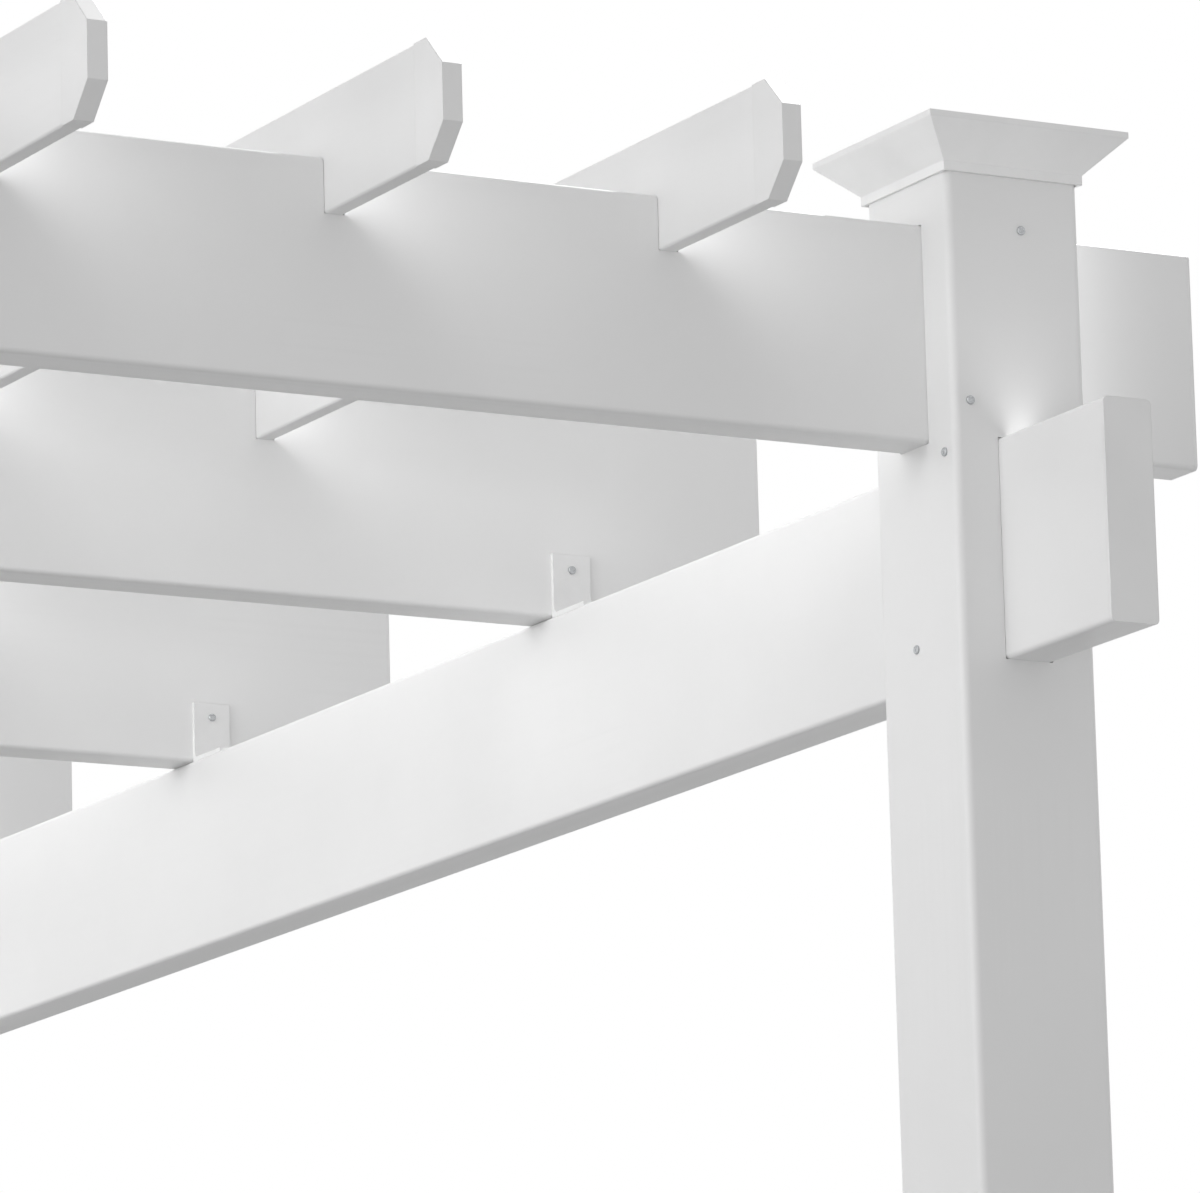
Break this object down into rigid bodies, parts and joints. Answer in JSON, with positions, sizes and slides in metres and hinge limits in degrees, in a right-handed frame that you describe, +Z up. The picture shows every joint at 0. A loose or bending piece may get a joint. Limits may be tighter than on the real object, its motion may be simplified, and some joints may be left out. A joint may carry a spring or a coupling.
{
  "type": "pergola",
  "caption": "Free-standing white vinyl pergola: hollow square posts with flared caps, side beams through the posts, notched rafters and dog-eared purlins.",
  "frame": {"origin": "on the ground, in the middle of the plan", "axes": "+X along the rafters to the right, +Y along the side beams to the back, +Z up"},
  "size_m": [3.414, 3.348, 2.601],
  "materials": {
    "post_vinyl": "satin white extruded vinyl",
    "rail_vinyl": "satin white extruded vinyl",
    "purlin_vinyl": "satin white extruded vinyl",
    "cap_vinyl": "satin white moulded vinyl",
    "bracket_paint": "white powder coat"
  },
  "bodies": {
    "root": {"front_left_post": "post_vinyl", "front_right_post": "post_vinyl", "back_left_post": "post_vinyl", "back_right_post": "post_vinyl", "front_left_post_cap": "cap_vinyl", "front_right_post_cap": "cap_vinyl", "back_left_post_cap": "cap_vinyl", "back_right_post_cap": "cap_vinyl", "left_beam": "rail_vinyl", "left_beam_end_caps": "cap_vinyl", "right_beam": "rail_vinyl", "right_beam_end_caps": "cap_vinyl", "rafter_1": "rail_vinyl", "rafter_2": "rail_vinyl", "rafter_3": "rail_vinyl", "rafter_4": "rail_vinyl", "rafter_5": "rail_vinyl", "left_rafter_end_caps": "cap_vinyl", "right_rafter_end_caps": "cap_vinyl", "purlin_1": "purlin_vinyl", "purlin_2": "purlin_vinyl", "purlin_3": "purlin_vinyl", "purlin_4": "purlin_vinyl", "purlin_5": "purlin_vinyl", "purlin_6": "purlin_vinyl", "purlin_7": "purlin_vinyl", "purlin_8": "purlin_vinyl", "purlin_9": "purlin_vinyl", "front_purlin_end_caps": "cap_vinyl", "back_purlin_end_caps": "cap_vinyl", "left_bracket_2": "bracket_paint", "left_bracket_3": "bracket_paint", "left_bracket_4": "bracket_paint", "right_bracket_2": "bracket_paint", "right_bracket_3": "bracket_paint", "right_bracket_4": "bracket_paint"}
  },
  "joints": []
}
